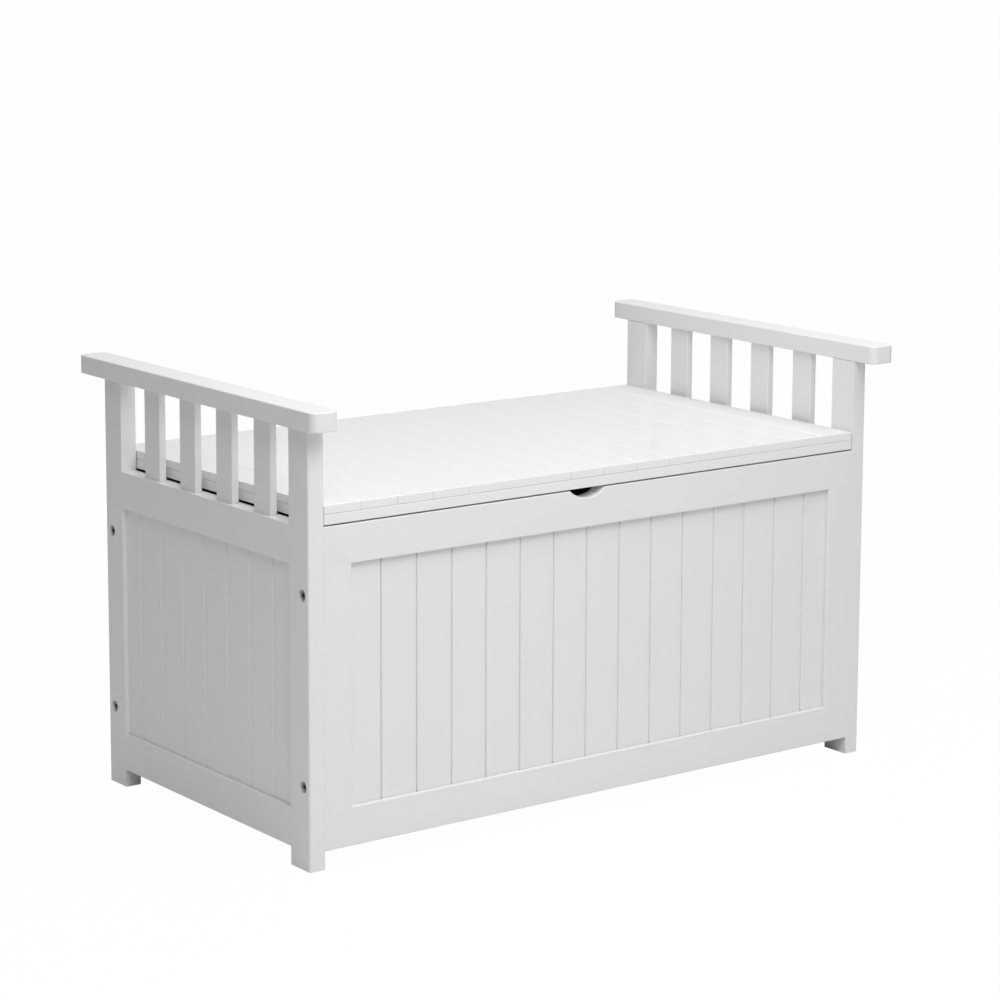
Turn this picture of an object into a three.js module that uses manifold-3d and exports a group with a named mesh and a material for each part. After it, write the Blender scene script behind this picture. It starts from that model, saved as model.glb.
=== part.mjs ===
// Storage bench in white-painted wood: two end frames with slatted arms, four V-grooved panels
// and a hinged seat of boards over one storage compartment.
//
// Millimetres. X runs along the bench, +Y points to its back and +Z up.
// The origin is on the floor, under the middle of the bench.

import * as THREE from 'three';
import { mergeVertices } from 'three/addons/utils/BufferGeometryUtils.js';
import Module from 'manifold-3d';

const wasm = await Module();
wasm.setup();

// ---------------------------------------------------------------- driving dimensions

// Whole bench, measured over the posts.
const BENCH_LENGTH = 900;
const BENCH_DEPTH = 484;
const ARM_TOP_HEIGHT = 570;
const SEAT_HEIGHT = 450;

// Posts and the arm rails on top of them.
const POST_WIDTH = 22; // along X
const POST_DEPTH = 42; // along Y
const POST_EASE = 1.6;
const POST_END_EASE = 0.8;
const ARM_THICKNESS = 24;
const ARM_OUTER_OVERHANG = 17;
const ARM_END_OVERHANG = 37;
const ARM_CORNER_RADIUS = 10;
const ARM_EASE = 1.8;

// Rails and stiles of the four sides.
const FOOT_CLEARANCE = 23;
const RAIL_HEIGHT = 49;
const RAIL_THICKNESS = 22;
const STILE_WIDTH = 40;

// V-grooved panels, held in grooves of the rails and stiles.
const PANEL_THICKNESS = 7;
const PANEL_RECESS = 6.5;
const PANEL_BOARD_PITCH = 53;
const PANEL_SMALLEST_EDGE_BOARD = 20;
const FRONT_FIRST_BOARD = 47.5;
const SIDE_FIRST_BOARD = 47;
const V_GROOVE_WIDTH = 3;
const V_GROOVE_DEPTH = 2;
const HOUSING_DEPTH = 6;

// Arm slats.
const SLAT_COUNT = 4;
const SLAT_WIDTH = 37;
const SLAT_THICKNESS = 10;
const SLAT_EASE = 1;

// Bottom of the compartment.
const BASE_THICKNESS = 5;
const BASE_HEIGHT = 50; // of its underside above the floor

// Seat lid: boards over a frame of battens.
const LID_BOARD_COUNT = 16;
const LID_BOARD_THICKNESS = 11;
const LID_BOARD_EASE = 1.2; // along the long edges
const LID_END_EASE = 0.9;
const LID_BATTEN_THICKNESS = 13;
const LID_BATTEN_WIDTH = 45;
const LID_SIDE_GAP = 1;
const LID_UNDER_GAP = 2;

// Finger pull cut into the front top rail.
const PULL_WIDTH = 56;
const PULL_DEPTH = 11;
const PULL_OFFSET = -27; // of its middle from the middle of the bench

// Bumper pads that hold the lid off the front rail.
const BUMPER_RADIUS = 6;
const BUMPER_TOP_RADIUS = 5;
const BUMPER_OFFSET = 330; // from the middle of the bench

// Butt hinges on the back. The lid leaf is screwed to the lid's back batten.
const HINGE_OFFSET = 250; // from the middle of the bench
const HINGE_LENGTH = 60;
const HINGE_LEAF_HEIGHT = 13; // from the axis of the pin
const HINGE_LEAF_THICKNESS = 1.5;
const HINGE_KNUCKLE_RADIUS = 3;
const HINGE_KNUCKLES = 5;
const HINGE_PIN_RADIUS = 1.5;
const HINGE_SCREW_RADIUS = 1.7;
const HINGE_SCREW_HEIGHT = 7.6; // from the axis of the pin
const HINGE_SCREW_PITCH = 21;

// Frame bolts, let into counterbores in the outer faces of the posts. Each one runs through the
// post into the edge of a stile, and into a barrel nut there.
const BOLT_INSET = 14.5; // from the front or back face of the post
const LOWER_BOLT_RISE = 32; // above the top of the bottom rail
const UPPER_BOLT_DROP = 34; // below the underside of the top rail
const BOLT_COUNTERBORE_RADIUS = 7.5;
const BOLT_COUNTERBORE_DEPTH = 5;
const BOLT_HOLE_RADIUS = 3.3;
const BOLT_HOLE_DEPTH = 27; // into the stile
const BARREL_NUT_HOLE_RADIUS = 5.1;
const BARREL_NUT_PAST_BOLT = 5; // how far the nut's hole reaches past the axis of the bolt
const BARREL_NUT_INSET = 19; // from the edge of the stile that meets the post

// Clearances.
const GLUE_LINE = 0.2; // between members that are glued or screwed face to face
const HOUSING_CLEARANCE = 0.25; // each side of a panel in its groove
const STOP_CLEARANCE = 0.1; // between the closed lid and its bumpers
const PIN_CLEARANCE = 0.1; // radial, pin to knuckle
const KNUCKLE_CLEARANCE = 0.3; // round the knuckles of a hinge

// How far a cutting solid stands proud of the faces that it cuts.
const CUTTER_PROUD = 1;
const COUNTERSINK_PROUD = 0.1;

// ---------------------------------------------------------------- derived places

const postOuterX = BENCH_LENGTH / 2;
const postInnerX = postOuterX - POST_WIDTH;
const frontY = -BENCH_DEPTH / 2;
const postBackY = -frontY;
const postInnerY = postBackY - POST_DEPTH;
const armUnderside = ARM_TOP_HEIGHT - ARM_THICKNESS;
const lidBoardUnderside = SEAT_HEIGHT - LID_BOARD_THICKNESS;
const lidUnderside = lidBoardUnderside - LID_BATTEN_THICKNESS;
const railTop = lidUnderside - LID_UNDER_GAP;
const topRailUnderside = railTop - RAIL_HEIGHT;
const bottomRailTop = FOOT_CLEARANCE + RAIL_HEIGHT;
const lidHalfLength = postInnerX - LID_SIDE_GAP;
const frameHalfLength = postInnerX - GLUE_LINE;
const stileInnerX = postInnerX - STILE_WIDTH;
const hingeAxisY = postBackY + KNUCKLE_CLEARANCE + HINGE_KNUCKLE_RADIUS;
const hingeAxisZ = railTop + LID_UNDER_GAP / 2;

// ---------------------------------------------------------------- materials

const whitePaint = new THREE.MeshStandardMaterial({ color: 0xf4f4f2, roughness: 0.32, metalness: 0 });
const lidPaint = new THREE.MeshStandardMaterial({ color: 0xf7f7f6, roughness: 0.24, metalness: 0 });
const basePaint = new THREE.MeshStandardMaterial({ color: 0xeeeeea, roughness: 0.45, metalness: 0 });
const zincSteel = new THREE.MeshStandardMaterial({ color: 0xb9bbbd, roughness: 0.35, metalness: 1 });
const softPad = new THREE.MeshStandardMaterial({ color: 0xd9d9d4, roughness: 0.7, metalness: 0 });

// ---------------------------------------------------------------- shared shape makers

const bench = new THREE.Group();

function addPiece(name, geometry, material) {
  const mesh = new THREE.Mesh(geometry, material.clone());
  mesh.name = name;
  bench.add(mesh);
}

// Closed outline from corner points.
function outline(points) {
  return new THREE.Shape(points.map(([x, y]) => new THREE.Vector2(x, y)));
}

// Rectangle from (x0, y0) to (x1, y1) with quarter-round corners.
function roundedRectangle(x0, y0, x1, y1, radius) {
  const shape = new THREE.Shape();
  shape.moveTo(x0 + radius, y0);
  shape.lineTo(x1 - radius, y0);
  shape.absarc(x1 - radius, y0 + radius, radius, -Math.PI / 2, 0);
  shape.lineTo(x1, y1 - radius);
  shape.absarc(x1 - radius, y1 - radius, radius, 0, Math.PI / 2);
  shape.lineTo(x0 + radius, y1);
  shape.absarc(x0 + radius, y1 - radius, radius, Math.PI / 2, Math.PI);
  shape.lineTo(x0, y0 + radius);
  shape.absarc(x0 + radius, y0 + radius, radius, Math.PI, 1.5 * Math.PI);
  return shape;
}

// How an extrusion's own x, y and z axes lie in the bench.
const ALONG = {
  x: [new THREE.Vector3(0, 1, 0), new THREE.Vector3(0, 0, 1), new THREE.Vector3(1, 0, 0)],
  y: [new THREE.Vector3(0, 0, 1), new THREE.Vector3(1, 0, 0), new THREE.Vector3(0, 1, 0)],
  z: [new THREE.Vector3(1, 0, 0), new THREE.Vector3(0, 1, 0), new THREE.Vector3(0, 0, 1)],
};

// Shape drawn across a member and swept along one axis, from start to end.
// Its coordinates are (y, z) along x, (z, x) along y and (x, y) along z.
// endEase rounds the edges of the two ends, and must stay below the radius of the shape's corners.
function sweep(shape, axis, start, end, endEase = 0, curveSegments = 1) {
  const geometry = new THREE.ExtrudeGeometry(shape, {
    depth: end - start - 2 * endEase,
    bevelEnabled: endEase > 0,
    bevelThickness: endEase,
    bevelSize: endEase,
    bevelOffset: -endEase,
    bevelSegments: 2,
    curveSegments,
    steps: 1,
  });
  geometry.translate(0, 0, start + endEase);
  geometry.applyMatrix4(new THREE.Matrix4().makeBasis(...ALONG[axis]));
  return geometry;
}

// Straight member between its lowest and highest corners, its long edges rounded by ease.
function member(axis, low, high, ease, endEase = 0) {
  const [first, second] = { x: [1, 2], y: [2, 0], z: [0, 1] }[axis];
  const along = { x: 0, y: 1, z: 2 }[axis];
  const shape = ease > 0
    ? roundedRectangle(low[first], low[second], high[first], high[second], ease)
    : outline([
      [low[first], low[second]],
      [high[first], low[second]],
      [high[first], high[second]],
      [low[first], high[second]],
    ]);
  return sweep(shape, axis, low[along], high[along], endEase);
}

function toSolid(geometry) {
  const bare = geometry.clone();
  bare.deleteAttribute('normal');
  bare.deleteAttribute('uv');
  const merged = mergeVertices(bare, 1e-4);
  return new wasm.Manifold(new wasm.Mesh({
    numProp: 3,
    vertProperties: new Float32Array(merged.attributes.position.array),
    triVerts: new Uint32Array(merged.index.array),
  }));
}

function fromSolid(solid) {
  const mesh = solid.getMesh();
  const geometry = new THREE.BufferGeometry();
  geometry.setAttribute('position', new THREE.BufferAttribute(new Float32Array(mesh.vertProperties), 3));
  geometry.setIndex(new THREE.BufferAttribute(new Uint32Array(mesh.triVerts), 1));
  geometry.computeVertexNormals();
  return geometry;
}

function cut(geometry, cutters) {
  return fromSolid(cutters.reduce((solid, cutter) => solid.subtract(toSolid(cutter)), toSolid(geometry)));
}

function join(geometries) {
  return fromSolid(geometries.map(toSolid).reduce((whole, piece) => whole.add(piece)));
}

// Round bar along X, between two places given in either order.
function barAlongX(radius, xs, y, z, segments = 16) {
  const bar = new THREE.CylinderGeometry(radius, radius, Math.abs(xs[1] - xs[0]), segments);
  bar.rotateZ(Math.PI / 2);
  bar.translate((xs[0] + xs[1]) / 2, y, z);
  return bar;
}

// Round bar along Y, between two places given in either order. Its end at the higher Y may have a
// radius of its own.
function barAlongY(radius, ys, x, z, highRadius = radius) {
  const bar = new THREE.CylinderGeometry(highRadius, radius, Math.abs(ys[1] - ys[0]), 16);
  bar.translate(x, (ys[0] + ys[1]) / 2, z);
  return bar;
}

// Two places in rising order.
function rising(a, b) {
  return [Math.min(a, b), Math.max(a, b)];
}

// Mirrored left and right pieces are made once for each side.
const SIDES = [
  { name: 'left', sign: -1 },
  { name: 'right', sign: 1 },
];

// The front frame and the back frame are the same, turned about.
const FACES = [
  { name: 'front', sign: -1 },
  { name: 'back', sign: 1 },
];

// ---------------------------------------------------------------- posts

const boltY = postBackY - BOLT_INSET;
const boltHeights = [bottomRailTop + LOWER_BOLT_RISE, topRailUnderside - UPPER_BOLT_DROP];

function postBoltHoles(side, face) {
  const outside = side.sign * (postOuterX + CUTTER_PROUD);
  const inside = side.sign * (postInnerX - CUTTER_PROUD);
  const counterboreFloor = side.sign * (postOuterX - BOLT_COUNTERBORE_DEPTH);
  return boltHeights.flatMap((height) => [
    barAlongX(BOLT_COUNTERBORE_RADIUS, [counterboreFloor, outside], face.sign * boltY, height, 24),
    barAlongX(BOLT_HOLE_RADIUS, [inside, outside], face.sign * boltY, height),
  ]);
}

function post(side, face) {
  const xs = rising(side.sign * postInnerX, side.sign * postOuterX);
  const ys = rising(face.sign * postInnerY, face.sign * postBackY);
  const blank = member(
    'z',
    [xs[0], ys[0], 0],
    [xs[1], ys[1], armUnderside - GLUE_LINE],
    POST_EASE,
    POST_END_EASE,
  );
  return cut(blank, postBoltHoles(side, face));
}

for (const side of SIDES) {
  for (const face of FACES) {
    addPiece(`${side.name}_${face.name}_post`, post(side, face), whitePaint);
  }
}

// ---------------------------------------------------------------- arm rails

// Flush with the posts on the inside, so that the lid passes, and overhanging them outside.
function arm(side) {
  const xs = rising(side.sign * postInnerX, side.sign * (postOuterX + ARM_OUTER_OVERHANG));
  const endY = postBackY + ARM_END_OVERHANG;
  const plan = roundedRectangle(xs[0], -endY, xs[1], endY, ARM_CORNER_RADIUS);
  return sweep(plan, 'z', armUnderside, ARM_TOP_HEIGHT, ARM_EASE, 4);
}

for (const side of SIDES) {
  addPiece(`${side.name}_arm`, arm(side), whitePaint);
}

// ---------------------------------------------------------------- rails and stiles

// Section of a rail or stile. The first coordinate is measured inwards from the outer face and the
// second across the member. The panel is housed in its far edge, and a bottom rail also houses the
// base board in its inner face.
function housedSection(width, baseHousing = null) {
  const housingNear = PANEL_RECESS - HOUSING_CLEARANCE;
  const housingFar = PANEL_RECESS + PANEL_THICKNESS + HOUSING_CLEARANCE;
  const housingFloor = width - HOUSING_DEPTH - HOUSING_CLEARANCE;
  const points = [[0, 0], [RAIL_THICKNESS, 0]];
  if (baseHousing) {
    const depth = RAIL_THICKNESS - HOUSING_DEPTH - HOUSING_CLEARANCE;
    const [low, high] = baseHousing;
    points.push([RAIL_THICKNESS, low], [depth, low], [depth, high], [RAIL_THICKNESS, high]);
  }
  points.push(
    [RAIL_THICKNESS, width],
    [housingFar, width],
    [housingFar, housingFloor],
    [housingNear, housingFloor],
    [housingNear, width],
    [0, width],
  );
  return points;
}

const baseHousing = [
  BASE_HEIGHT - FOOT_CLEARANCE - HOUSING_CLEARANCE,
  BASE_HEIGHT - FOOT_CLEARANCE + BASE_THICKNESS + HOUSING_CLEARANCE,
];

// Reverses an outline that a mirror image has turned clockwise.
function anticlockwise(points) {
  return THREE.ShapeUtils.isClockWise(points.map(([x, y]) => new THREE.Vector2(x, y)))
    ? points.slice().reverse()
    : points;
}

// Rails along X, for the front and back frames.
function longRail(face, isTop) {
  const section = housedSection(RAIL_HEIGHT, isTop ? null : baseHousing);
  const points = section.map(([inwards, across]) => [
    face.sign * (postBackY - inwards),
    isTop ? railTop - across : FOOT_CLEARANCE + across,
  ]);
  return sweep(outline(anticlockwise(points)), 'x', -frameHalfLength, frameHalfLength);
}

// Shallow segment of a circle, cut down into the top edge of the front rail.
function fingerPullCutter() {
  const halfWidth = PULL_WIDTH / 2;
  const radius = (halfWidth ** 2 + PULL_DEPTH ** 2) / (2 * PULL_DEPTH);
  const cutter = new THREE.CylinderGeometry(radius, radius, 2 * RAIL_THICKNESS, 64);
  cutter.translate(PULL_OFFSET, frontY + RAIL_THICKNESS / 2, railTop - PULL_DEPTH + radius);
  return cutter;
}

// Holes for the bolts in the stile's edge, and for their barrel nuts in its inner face.
function stileBoltHoles(side, face) {
  const edge = side.sign * (frameHalfLength + CUTTER_PROUD);
  const holeFloor = side.sign * (frameHalfLength - BOLT_HOLE_DEPTH);
  const nutMouthY = postBackY - RAIL_THICKNESS - CUTTER_PROUD;
  const nutYs = [face.sign * nutMouthY, face.sign * (boltY + BARREL_NUT_PAST_BOLT)];
  const nutX = side.sign * (frameHalfLength - BARREL_NUT_INSET);
  return boltHeights.flatMap((height) => [
    barAlongX(BOLT_HOLE_RADIUS, [holeFloor, edge], face.sign * boltY, height),
    barAlongY(BARREL_NUT_HOLE_RADIUS, nutYs, nutX, height),
  ]);
}

// Stiles stand between the two long rails, against the posts.
function stile(side, face) {
  const section = housedSection(STILE_WIDTH);
  const points = section.map(([inwards, across]) => [
    side.sign * (frameHalfLength - across),
    face.sign * (postBackY - inwards),
  ]);
  const start = bottomRailTop + GLUE_LINE;
  const blank = sweep(outline(anticlockwise(points)), 'z', start, topRailUnderside - GLUE_LINE);
  return cut(blank, stileBoltHoles(side, face));
}

// Rails along Y, between the posts of one end.
function endRail(side, isTop) {
  const section = housedSection(RAIL_HEIGHT, isTop ? null : baseHousing);
  const points = section.map(([inwards, across]) => [
    isTop ? railTop - across : FOOT_CLEARANCE + across,
    side.sign * (postOuterX - inwards),
  ]);
  const halfLength = postInnerY - GLUE_LINE;
  return sweep(outline(anticlockwise(points)), 'y', -halfLength, halfLength);
}

for (const face of FACES) {
  const topRail = longRail(face, true);
  const topRailShape = face.name === 'front' ? cut(topRail, [fingerPullCutter()]) : topRail;
  addPiece(`${face.name}_top_rail`, topRailShape, whitePaint);
  addPiece(`${face.name}_bottom_rail`, longRail(face, false), whitePaint);
  for (const side of SIDES) {
    addPiece(`${face.name}_${side.name}_stile`, stile(side, face), whitePaint);
  }
}

for (const side of SIDES) {
  addPiece(`${side.name}_top_rail`, endRail(side, true), whitePaint);
  addPiece(`${side.name}_bottom_rail`, endRail(side, false), whitePaint);
}

// ---------------------------------------------------------------- V-grooved panels

// Plan of a panel, from start to end along its length. Its outer face, with the grooves, is at 0 and
// its inner face at PANEL_THICKNESS. The first groove is at firstGroove and the rest one pitch apart,
// as far as the last one leaves an edge board of a fair width before openingEnd.
function panelPlan(start, end, firstGroove, openingEnd) {
  const room = openingEnd - PANEL_SMALLEST_EDGE_BOARD - firstGroove;
  const grooves = Math.max(0, Math.floor(room / PANEL_BOARD_PITCH) + 1);
  const points = [[start, 0]];
  for (let i = 0; i < grooves; i += 1) {
    const middle = firstGroove + i * PANEL_BOARD_PITCH;
    points.push(
      [middle - V_GROOVE_WIDTH / 2, 0],
      [middle, V_GROOVE_DEPTH],
      [middle + V_GROOVE_WIDTH / 2, 0],
    );
  }
  points.push([end, 0], [end, PANEL_THICKNESS], [start, PANEL_THICKNESS]);
  return points;
}

const panelBottom = bottomRailTop - HOUSING_DEPTH;
const panelTop = topRailUnderside + HOUSING_DEPTH;

function longPanel(face) {
  const halfLength = stileInnerX - GLUE_LINE + HOUSING_DEPTH;
  const firstGroove = -stileInnerX + FRONT_FIRST_BOARD;
  const plan = panelPlan(-halfLength, halfLength, firstGroove, stileInnerX);
  const points = plan.map(([along, inwards]) => [
    -face.sign * along,
    face.sign * (postBackY - PANEL_RECESS - inwards),
  ]);
  return sweep(outline(anticlockwise(points)), 'z', panelBottom, panelTop);
}

// The vertical edges of an end panel meet the posts.
function endPanel(side) {
  const halfLength = postInnerY - GLUE_LINE;
  const plan = panelPlan(-halfLength, halfLength, -postInnerY + SIDE_FIRST_BOARD, postInnerY);
  const points = plan.map(([along, inwards]) => [
    side.sign * (postOuterX - PANEL_RECESS - inwards),
    along,
  ]);
  return sweep(outline(anticlockwise(points)), 'z', panelBottom, panelTop);
}

for (const face of FACES) {
  addPiece(`${face.name}_panel`, longPanel(face), whitePaint);
}
for (const side of SIDES) {
  addPiece(`${side.name}_panel`, endPanel(side), whitePaint);
}

// ---------------------------------------------------------------- arm slats

// Centred in the thickness of the end rail, with equal gaps between posts and slats.
function slat(side, index) {
  const opening = 2 * postInnerY;
  const gap = (opening - SLAT_COUNT * SLAT_WIDTH) / (SLAT_COUNT + 1);
  const startY = -postInnerY + gap + index * (SLAT_WIDTH + gap);
  const middleX = side.sign * (postOuterX - RAIL_THICKNESS / 2);
  return member(
    'z',
    [middleX - SLAT_THICKNESS / 2, startY, railTop + GLUE_LINE],
    [middleX + SLAT_THICKNESS / 2, startY + SLAT_WIDTH, armUnderside - GLUE_LINE],
    SLAT_EASE,
  );
}

for (const side of SIDES) {
  for (let index = 0; index < SLAT_COUNT; index += 1) {
    addPiece(`${side.name}_slat_${index + 1}`, slat(side, index), whitePaint);
  }
}

// ---------------------------------------------------------------- base board

// Held in the grooves of all four bottom rails and notched round the posts.
function baseBoard() {
  const outX = postOuterX - RAIL_THICKNESS + HOUSING_DEPTH;
  const outY = postBackY - RAIL_THICKNESS + HOUSING_DEPTH;
  const notchX = postInnerX - 2 * GLUE_LINE;
  const notchY = postInnerY - 2 * GLUE_LINE;
  const quarter = [[notchX, outY], [notchX, notchY], [outX, notchY]];
  const points = [
    ...quarter.map(([x, y]) => [x, -y]),
    ...quarter.slice().reverse(),
    ...quarter.map(([x, y]) => [-x, y]),
    ...quarter.slice().reverse().map(([x, y]) => [-x, -y]),
  ];
  return sweep(outline(anticlockwise(points)), 'z', BASE_HEIGHT, BASE_HEIGHT + BASE_THICKNESS);
}

addPiece('base_board', baseBoard(), basePaint);

// ---------------------------------------------------------------- seat lid

// The boards lie side by side along X and run from front to back.
function lidBoard(index) {
  const width = (2 * lidHalfLength) / LID_BOARD_COUNT;
  const startX = -lidHalfLength + index * width;
  const leftGap = index === 0 ? 0 : GLUE_LINE / 2;
  const rightGap = index === LID_BOARD_COUNT - 1 ? 0 : GLUE_LINE / 2;
  return member(
    'y',
    [startX + leftGap, frontY, lidBoardUnderside],
    [startX + width - rightGap, postBackY, SEAT_HEIGHT],
    LID_BOARD_EASE,
    LID_END_EASE,
  );
}

for (let index = 0; index < LID_BOARD_COUNT; index += 1) {
  addPiece(`lid_board_${index + 1}`, lidBoard(index), lidPaint);
}

const battenTop = lidBoardUnderside - GLUE_LINE;

function longBatten(face) {
  const ys = rising(face.sign * (postBackY - LID_BATTEN_WIDTH), face.sign * postBackY);
  return member(
    'x',
    [-lidHalfLength, ys[0], lidUnderside],
    [lidHalfLength, ys[1], battenTop],
    LID_BOARD_EASE,
    LID_END_EASE,
  );
}

function endBatten(side) {
  const xs = rising(side.sign * (lidHalfLength - LID_BATTEN_WIDTH), side.sign * lidHalfLength);
  const halfLength = postBackY - LID_BATTEN_WIDTH - GLUE_LINE;
  return member(
    'y',
    [xs[0], -halfLength, lidUnderside],
    [xs[1], halfLength, battenTop],
    LID_BOARD_EASE,
  );
}

for (const face of FACES) {
  addPiece(`lid_${face.name}_batten`, longBatten(face), lidPaint);
}
for (const side of SIDES) {
  addPiece(`lid_${side.name}_batten`, endBatten(side), lidPaint);
}

// ---------------------------------------------------------------- bumper pads

function bumper(side) {
  const height = LID_UNDER_GAP - STOP_CLEARANCE - GLUE_LINE;
  const pad = new THREE.CylinderGeometry(BUMPER_TOP_RADIUS, BUMPER_RADIUS, height, 20);
  pad.rotateX(Math.PI / 2);
  pad.translate(
    side.sign * BUMPER_OFFSET,
    frontY + RAIL_THICKNESS / 2,
    railTop + GLUE_LINE + height / 2,
  );
  return pad;
}

for (const side of SIDES) {
  addPiece(`${side.name}_bumper`, bumper(side), softPad);
}

// ---------------------------------------------------------------- hinges

const knucklePitch = HINGE_LENGTH / HINGE_KNUCKLES;

// One leaf of a butt hinge: a plate on the back of the bench with every second knuckle of the barrel.
// up is 1 for the leaf on the lid, whose plate stands above the pin, and -1 for the leaf on the rail.
function hingeLeaf(middleX, up) {
  const startX = middleX - HINGE_LENGTH / 2;
  const plateFrontY = postBackY + GLUE_LINE;
  const plateBackY = plateFrontY + HINGE_LEAF_THICKNESS;
  const plateZ = rising(hingeAxisZ, hingeAxisZ + up * HINGE_LEAF_HEIGHT);
  const plate = member(
    'x',
    [startX, plateFrontY, plateZ[0]],
    [startX + HINGE_LENGTH, plateBackY, plateZ[1]],
    0,
  );
  const knuckles = [];
  const reliefs = [];
  for (let i = 0; i < HINGE_KNUCKLES; i += 1) {
    const from = startX + i * knucklePitch;
    const to = from + knucklePitch;
    const startGap = i === 0 ? 0 : KNUCKLE_CLEARANCE / 2;
    const endGap = i === HINGE_KNUCKLES - 1 ? 0 : KNUCKLE_CLEARANCE / 2;
    if ((i % 2 === 0) === (up < 0)) {
      const xs = [from + startGap, to - endGap];
      knuckles.push(barAlongX(HINGE_KNUCKLE_RADIUS, xs, hingeAxisY, hingeAxisZ));
    } else {
      const reach = HINGE_KNUCKLE_RADIUS + KNUCKLE_CLEARANCE;
      const zs = rising(hingeAxisZ - up * CUTTER_PROUD, hingeAxisZ + up * reach);
      reliefs.push(member(
        'x',
        [from - (startGap || CUTTER_PROUD), plateFrontY - CUTTER_PROUD, zs[0]],
        [to + (endGap || CUTTER_PROUD), hingeAxisY, zs[1]],
        0,
      ));
    }
  }
  const bore = barAlongX(
    HINGE_PIN_RADIUS + PIN_CLEARANCE,
    [startX - CUTTER_PROUD, startX + HINGE_LENGTH + CUTTER_PROUD],
    hingeAxisY,
    hingeAxisZ,
  );
  const screwHoles = [-1, 0, 1].map((place) => barAlongY(
    HINGE_SCREW_RADIUS - COUNTERSINK_PROUD,
    [plateFrontY - COUNTERSINK_PROUD, plateBackY + COUNTERSINK_PROUD],
    middleX + place * HINGE_SCREW_PITCH,
    hingeAxisZ + up * HINGE_SCREW_HEIGHT,
    HINGE_SCREW_RADIUS + HINGE_LEAF_THICKNESS + COUNTERSINK_PROUD,
  ));
  return cut(join([cut(plate, reliefs), ...knuckles]), [bore, ...screwHoles]);
}

function hingePin(middleX) {
  const half = HINGE_LENGTH / 2;
  return barAlongX(HINGE_PIN_RADIUS, [middleX - half, middleX + half], hingeAxisY, hingeAxisZ);
}

for (const side of SIDES) {
  const middleX = side.sign * HINGE_OFFSET;
  addPiece(`${side.name}_hinge_rail_leaf`, hingeLeaf(middleX, -1), zincSteel);
  addPiece(`${side.name}_hinge_lid_leaf`, hingeLeaf(middleX, 1), zincSteel);
  addPiece(`${side.name}_hinge_pin`, hingePin(middleX), zincSteel);
}

export default bench;
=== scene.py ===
import math
import random

import bmesh
import bpy
from mathutils import Matrix, Vector


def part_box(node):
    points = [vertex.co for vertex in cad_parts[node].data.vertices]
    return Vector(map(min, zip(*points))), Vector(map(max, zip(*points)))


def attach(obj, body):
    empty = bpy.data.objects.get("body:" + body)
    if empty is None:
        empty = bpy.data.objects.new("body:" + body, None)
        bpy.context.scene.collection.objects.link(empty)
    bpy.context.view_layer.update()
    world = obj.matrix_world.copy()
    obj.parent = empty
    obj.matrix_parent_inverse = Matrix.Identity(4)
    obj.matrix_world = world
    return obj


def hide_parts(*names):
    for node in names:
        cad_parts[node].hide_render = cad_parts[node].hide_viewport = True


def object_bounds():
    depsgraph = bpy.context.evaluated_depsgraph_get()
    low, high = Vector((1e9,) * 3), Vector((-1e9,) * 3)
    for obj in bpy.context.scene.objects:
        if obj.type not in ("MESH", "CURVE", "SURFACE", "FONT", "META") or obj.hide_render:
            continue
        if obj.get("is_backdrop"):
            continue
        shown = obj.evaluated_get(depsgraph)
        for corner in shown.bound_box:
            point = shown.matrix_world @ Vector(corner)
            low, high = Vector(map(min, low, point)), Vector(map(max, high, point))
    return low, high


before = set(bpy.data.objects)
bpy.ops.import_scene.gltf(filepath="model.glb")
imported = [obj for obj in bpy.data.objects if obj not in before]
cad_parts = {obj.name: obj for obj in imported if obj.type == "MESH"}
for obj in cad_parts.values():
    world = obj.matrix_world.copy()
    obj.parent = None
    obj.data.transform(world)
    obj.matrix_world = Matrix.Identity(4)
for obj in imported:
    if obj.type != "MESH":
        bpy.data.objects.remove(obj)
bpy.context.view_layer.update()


# ---------------------------------------------------------------- camera and studio
# The bench stands on a sheet of white paper in a dim room. Two soft boxes hang over it, one stands
# in front to the left and a weak one behind. The paper and the backdrop are lit to white.

scene = bpy.context.scene
scene.view_settings.view_transform = "Standard"

CAMERA_PLACE = Vector((-2.4110, -3.2514, 1.1906))
CAMERA_YAW = math.radians(36.712)
CAMERA_PITCH = math.radians(9.281)
CAMERA_ROLL = math.radians(0.235)
CAMERA_LENS = 111.15
CAMERA_SENSOR = 36
CAMERA_SHIFT = -0.12

camera_data = bpy.data.cameras.new("camera")
camera_data.lens = CAMERA_LENS
camera_data.sensor_width = CAMERA_SENSOR
camera_data.shift_y = CAMERA_SHIFT
camera = bpy.data.objects.new("camera", camera_data)
camera.matrix_world = (
    Matrix.Translation(CAMERA_PLACE)
    @ Matrix.Rotation(-CAMERA_YAW, 4, "Z")
    @ Matrix.Rotation(math.pi / 2 - CAMERA_PITCH, 4, "X")
    @ Matrix.Rotation(CAMERA_ROLL, 4, "Z")
)
scene.collection.objects.link(camera)
scene.camera = camera


def soft_box(name, place, aim, width, height, power):
    light = bpy.data.lights.new(name, "AREA")
    light.shape = "RECTANGLE"
    light.size = width
    light.size_y = height
    light.energy = power
    lamp = bpy.data.objects.new(name, light)
    lamp.location = place
    lamp.rotation_euler = (Vector(aim) - Vector(place)).to_track_quat("-Z", "Y").to_euler()
    scene.collection.objects.link(lamp)


soft_box(
    "overhead_soft_box", place=(0.2, 0.0, 2.0), aim=(0.0, 0.0, 0.4), width=1.8, height=1.5, power=12
)
soft_box(
    "front_soft_box", place=(-0.9, -1.6, 1.9), aim=(-0.3, -0.2, 0.3), width=1.4, height=1.0, power=19
)
soft_box(
    "upper_soft_box", place=(0.2, -0.9, 1.9), aim=(-0.1, 0.0, 0.4), width=1.2, height=1.0, power=10.5
)
soft_box(
    "back_soft_box", place=(2.6, 3.0, 1.2), aim=(0.3, 0.0, 0.45), width=3.2, height=1.8, power=4.5
)


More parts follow.
